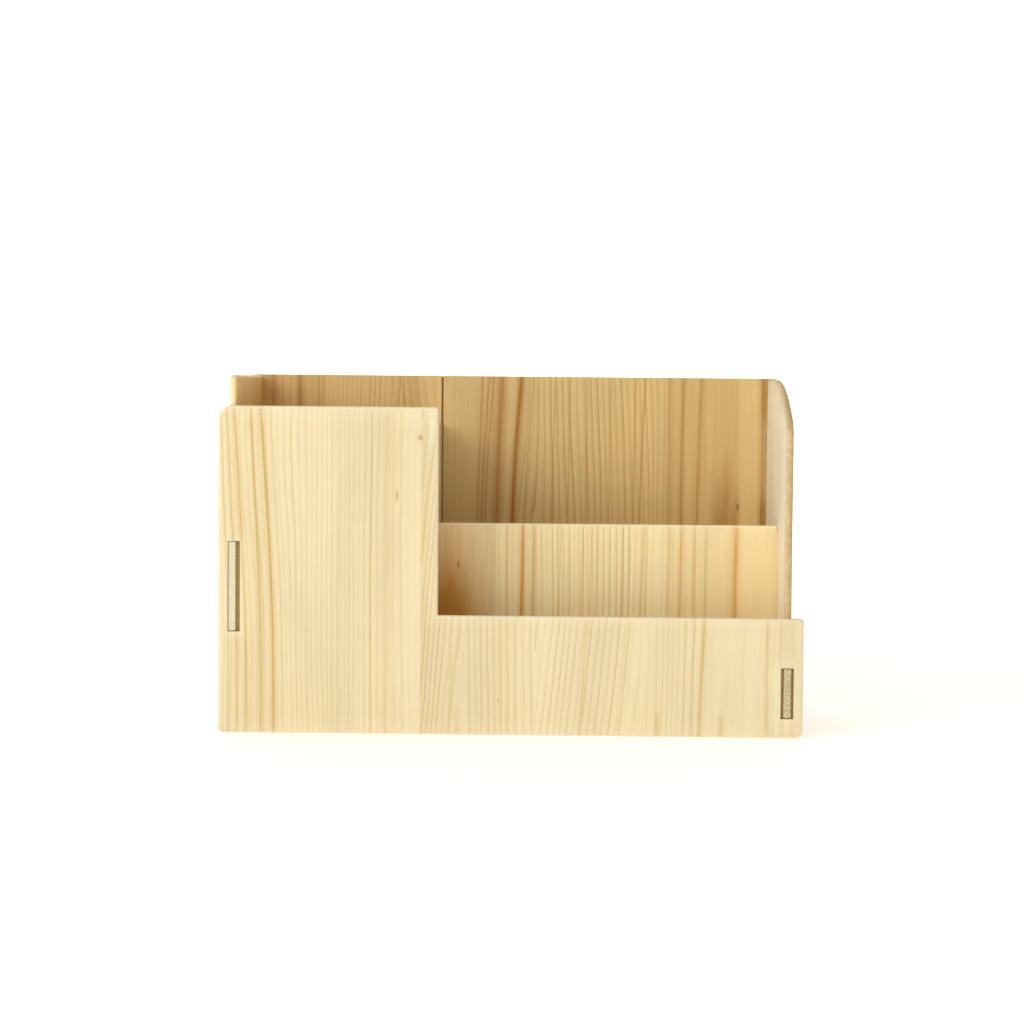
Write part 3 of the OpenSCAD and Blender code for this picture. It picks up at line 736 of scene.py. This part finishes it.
left = board(
    "board_side_left", "left_side_panel", "yz", LX0, LX1,
    [(YFI, 0, 0.6), (YBI, 0, 0.6)] + rear_tenons() + [(YBI, SIDE_H, 1.4), (YFI, SIDE_H, 3.5),
     (YFI, L_SLOT[1] - 0.3, 0.25), (YF + 0.5, L_SLOT[1] - 0.3, 0.3), (YF + 0.5, L_SLOT[0] + 0.3, 0.3), (YFI, L_SLOT[0] + 0.3, 0.25)],
    side_r(131.0, *L_SLOT), side_r(131.0, *L_SLOT),
    holes=[[(y - 8.15, 3.85, 0.3), (y + 8.15, 3.85, 0.3), (y + 8.15, 7.15, 0.3), (y - 8.15, 7.15, 0.3)] for y in BASE_Y],
    material=m_left, cut=lambda u, v: 1.0 if u < YFI - 1.5 else 0.0)

# the long curve on the right side panel: two tangent arcs
r1, sa, sb = 9.3, 64.0, 24.0
r2 = ((sa - r1) ** 2 + sb * sb - r1 * r1) / (2 * (sb - r1))
join = math.atan2(sa - r1, r2 - sb)               # angle from vertical at the joint of the two arcs
sweep = []
for i in range(25):                               # big arc, from the top forward
    t = join * i / 24
    sweep.append((YFI + sa - r2 * math.sin(t), SIDE_H - r2 + r2 * math.cos(t), 0))
for i in range(1, 13):                            # small arc, down to the front edge
    t = join + (math.pi / 2 - join) * i / 12
    sweep.append((YFI + r1 - r1 * math.sin(t), SIDE_H - sb + r1 * math.cos(t), 0))


def right_r(u, v):
    base = side_r(46.0, *R_SLOT)(u, v)
    if v > SIDE_H - sb - 0.5 and u < YBI - 3:     # along the whole curve
        return 1.25
    return base


right = board(
    "board_side_right", "right_side_panel", "yz", RX0, RX1,
    [(YFI, 0, 0.6), (YBI, 0, 0.6)] + rear_tenons() + [(YBI, SIDE_H, 1.4)] + sweep +
    [(YFI, R_SLOT[1] - 0.3, 0.25), (YF + 0.5, R_SLOT[1] - 0.3, 0.3), (YF + 0.5, R_SLOT[0] + 0.3, 0.3), (YFI, R_SLOT[0] + 0.3, 0.25)],
    right_r, right_r,
    holes=[[(y - 8.15, 3.85, 0.3), (y + 8.15, 3.85, 0.3), (y + 8.15, 7.15, 0.3), (y - 8.15, 7.15, 0.3)] for y in BASE_Y] +
    [[(DY0 - FIT, END_TAB[0] - FIT, 0.3), (DY1 + FIT, END_TAB[0] - FIT, 0.3), (DY1 + FIT, END_TAB[1] + FIT, 0.3), (DY0 - FIT, END_TAB[1] + FIT, 0.3)]],
    material=m_right, cut=lambda u, v: 1.0 if u < YFI - 1.5 else 0.0)


def rear_slot(x0, x1):
    return [[(x0 - FIT, a, 0.3), (x1 + FIT, a, 0.3), (x1 + FIT, b, 0.3), (x0 - FIT, b, 0.3)] for a, b in REAR]


def base_slot(x, half):
    return [(x - half - FIT, 3.85, 0.3), (x + half + FIT, 3.85, 0.3), (x + half + FIT, 7.15, 0.3), (x - half - FIT, 7.15, 0.3)]


notch = []
for a, b in WALL_TABS:
    notch += [(SEAM, a - FIT, 0.3), (WX0 - FIT, a - FIT, 0.25), (WX0 - FIT, b + FIT, 0.25), (SEAM, b + FIT, 0.3)]


def seam_r(u, v):
    if abs(u - SEAM) < 0.2:
        d = min(abs(v - z) for s in WALL_TABS for z in s)
        return 0.26 + 0.34 * ease(d, 0.5, 2.5)
    if any(s[0] - 1 <= v <= s[1] + 1 for s in WALL_TABS) and u > WX0 - 1:
        return 0.22
    return 0.45


back_left = board(
    "board_back_left", "back_left_board", "xz", YBI, YB,
    [(BLX0, 0, 1.6), (SEAM, 0, 0.7)] + notch + [(SEAM, BLZ1, 0.7), (BLX0, BLZ1, 3.0)],
    seam_r, lambda u, v: min(seam_r(u, v) if u > WX0 - 1 else 1.1, 1.1),
    holes=rear_slot(LX0, LX1) + [base_slot(BASE_XL, 13)],
    material=m_back_l, cut=lambda u, v: 1.0 if abs(u - SEAM) < 0.05 else 0.0)

back_right = board(
    "board_back_right", "back_right_board", "xz", YBI, YB,
    [(SEAM, 0, 0.7), (BRX1, 0, 1.6), (BRX1, BRZ1, 3.0), (SEAM, BRZ1, 0.7)],
    lambda u, v: 0.6 if abs(u - SEAM) < 0.2 else 0.45, lambda u, v: 0.45 if abs(u - SEAM) < 1.2 else 1.1,
    holes=rear_slot(RX0, RX1) + [base_slot(BASE_XR, 20)],
    material=m_back, cut=lambda u, v: 1.0 if abs(u - SEAM) < 0.05 else 0.0)

base_pts = [(XLI, YFI, 0.4), (XRI, YFI, 0.4)]
for y in BASE_Y:
    base_pts += [(XRI, y - 8, 0.25), (SX1, y - 8, 0.3), (SX1, y + 8, 0.3), (XRI, y + 8, 0.25)]
base_pts += [(XRI, YBI, 0.4)]
for x, h in ((BASE_XR, 20), (BASE_XL, 13)):
    base_pts += [(x + h, YBI, 0.25), (x + h, TIP, 0.3), (x - h, TIP, 0.3), (x - h, YBI, 0.25)]
base_pts += [(XLI, YBI, 0.4)]
for y in reversed(BASE_Y):
    base_pts += [(XLI, y + 8, 0.25), (SX0, y + 8, 0.3), (SX0, y - 8, 0.3), (XLI, y - 8, 0.25)]
base = board(
    "board_base", "base_panel", "xy", SZ0, SZ1, base_pts, lambda u, v: 0.22, lambda u, v: 0.22,
    holes=[[(x - 9 - FIT, DY0 - FIT, 0.3), (x + 9 + FIT, DY0 - FIT, 0.3), (x + 9 + FIT, DY1 + FIT, 0.3), (x - 9 - FIT, DY1 + FIT, 0.3)] for x in FEET] +
    [[(WX0 - FIT, -8 - FIT, 0.3), (WX1 + FIT, -8 - FIT, 0.3), (WX1 + FIT, 12 + FIT, 0.3), (WX0 - FIT, 12 + FIT, 0.3)]],
    material=m_base)

FOOT = SZ0 + 0.2
div_pts = [(WX1, SZ1, 0.4)]
for x in FEET:
    div_pts += [(x - 9, SZ1, 0.25), (x - 9, FOOT, 0.3), (x + 9, FOOT, 0.3), (x + 9, SZ1, 0.25)]
div_pts += [(XRI, SZ1, 0.4), (XRI, END_TAB[0], 0.25), (DX1, END_TAB[0], 0.3), (DX1, END_TAB[1], 0.3), (XRI, END_TAB[1], 0.25),
            (XRI, DZ1, 1.4), (WX1, DZ1, 1.4), (WX1, END_TAB[1], 0.25), (DX0, END_TAB[1], 0.3), (DX0, END_TAB[0], 0.3), (WX1, END_TAB[0], 0.25)]


def div_r(u, v):
    return 0.24 + 1.06 * ease(v, DZ1 - 3.0, DZ1 - 1.0)


divider = board("board_divider", "long_divider", "xz", DY0, DY1, div_pts, div_r, div_r, material=m_div)

wall_pts = [(YFI, SZ1, 0.4), (-8, SZ1, 0.25), (-8, FOOT, 0.3), (12, FOOT, 0.3), (12, SZ1, 0.25), (YBI, SZ1, 0.4)]
for a, b in WALL_TABS:
    wall_pts += [(YBI, a, 0.25), (TIP, a, 0.3), (TIP, b, 0.3), (YBI, b, 0.25)]
wall_pts += [(YBI, WZ1, 1.4), (YFI, WZ1, 1.4)]
wall = board(
    "board_wall", "cross_divider", "yz", WX0, WX1, wall_pts,
    lambda u, v: 0.24 + 1.0 * ease(v, WZ1 - 3.0, WZ1 - 1.0), lambda u, v: 0.24 + 1.0 * ease(v, WZ1 - 3.0, WZ1 - 1.0),
    holes=[[(DY0 - FIT, END_TAB[0] - FIT, 0.3), (DY1 + FIT, END_TAB[0] - FIT, 0.3), (DY1 + FIT, END_TAB[1] + FIT, 0.3), (DY0 - FIT, END_TAB[1] + FIT, 0.3)]],
    material=m_wall)


# ---------------------------------------------------------------------- stage
def floor_material():
    mat = bpy.data.materials.new("stage_white")
    k = Nodes(mat)
    tc = k.new("ShaderNodeTexCoord")
    n = k.noise(tc.outputs["Object"], 3.0, 2.0)
    bs = k.new("ShaderNodeBsdfPrincipled")
    k.put(bs.inputs["Base Color"], k.mix(n, (0.93, 0.93, 0.93), (0.95, 0.95, 0.95)))
    bs.inputs["Roughness"].default_value = 0.9
    bs.inputs["Specular IOR Level"].default_value = 0.1
    bs.inputs["Emission Color"].default_value = (1, 1, 1, 1)
    bs.inputs["Emission Strength"].default_value = 0.33
    out = k.new("ShaderNodeOutputMaterial")
    k.put(out.inputs[0], bs.outputs[0])
    return mat


prof = [(-4.0, 0.0)]
R = 1.2
for i in range(17):
    t = math.pi / 2 * i / 16
    prof.append((1.8 + R * math.sin(t), R - R * math.cos(t)))
prof.append((1.8 + R, 5.0))
vs, fs = [], []
for x in (-5.0, 5.0):
    for y, z in prof:
        vs.append((x, y, z))
n = len(prof)
for i in range(n - 1):
    fs.append((i, n + i, n + i + 1, i + 1))
me = bpy.data.meshes.new("stage_floor")
me.from_pydata(vs, [], fs)
me.polygons.foreach_set("use_smooth", [True] * len(me.polygons))
me.materials.append(floor_material())
floor = bpy.data.objects.new("stage_floor", me)
scene.collection.objects.link(floor)


def area(name, loc, target, w, h, power, color=(1, 1, 1)):
    ld = bpy.data.lights.new(name, "AREA")
    ld.shape = "RECTANGLE"
    ld.size, ld.size_y = w, h
    ld.energy = power
    ld.color = color
    ob = bpy.data.objects.new(name, ld)
    ob.location = loc
    ob.rotation_euler = (Vector(target) - Vector(loc)).to_track_quat("-Z", "Y").to_euler()
    scene.collection.objects.link(ob)
    return ob


C = (0.0, 0.0, 0.07)
area("key_left", (-1.35, -1.2, 0.8), C, 1.0, 1.0, 12.5)
area("front_fill", (-0.25, -2.1, 0.75), C, 1.6, 1.2, 9)
area("top_soft", (-0.3, 0.0, 1.6), C, 1.6, 1.4, 5)
area("back_wash", (0.0, 1.2, 1.6), (0.0, 3.2, 0.9), 3.0, 1.0, 60)

world = bpy.data.worlds.new("studio")
world.use_nodes = True
world.node_tree.nodes["Background"].inputs[0].default_value = (1.0, 0.93, 0.79, 1)
world.node_tree.nodes["Background"].inputs[1].default_value = 0.36
scene.world = world

scene.view_settings.view_transform = "Standard"
scene.view_settings.look = "None"
scene.view_settings.exposure = 0.0
scene.view_settings.gamma = 1.0

# --------------------------------------------------------------------- camera
CAM = Vector((13.05, YF - 976.6, 145.4)) * MM
yaw, pitch, roll = -0.013, 0.055, 0.009
right_ = Vector((math.cos(yaw), -math.sin(yaw), 0))
fwd0 = Vector((math.sin(yaw), math.cos(yaw), 0))
fwd = fwd0 * math.cos(pitch) - Vector((0, 0, 1)) * math.sin(pitch)
up = fwd0 * math.sin(pitch) + Vector((0, 0, 1)) * math.cos(pitch)
rc = right_ * math.cos(roll) + up * math.sin(roll)
uc = up * math.cos(roll) - right_ * math.sin(roll)
cam = bpy.data.cameras.new("camera")
cam.sensor_width = 36.0
cam.lens = 2400.0 / 1024.0 * 36.0
cam.clip_start, cam.clip_end = 0.01, 50.0
co = bpy.data.objects.new("camera", cam)
co.matrix_world = Matrix(((rc.x, uc.x, -fwd.x, CAM.x), (rc.y, uc.y, -fwd.y, CAM.y), (rc.z, uc.z, -fwd.z, CAM.z), (0, 0, 0, 1)))
scene.collection.objects.link(co)
scene.camera = co
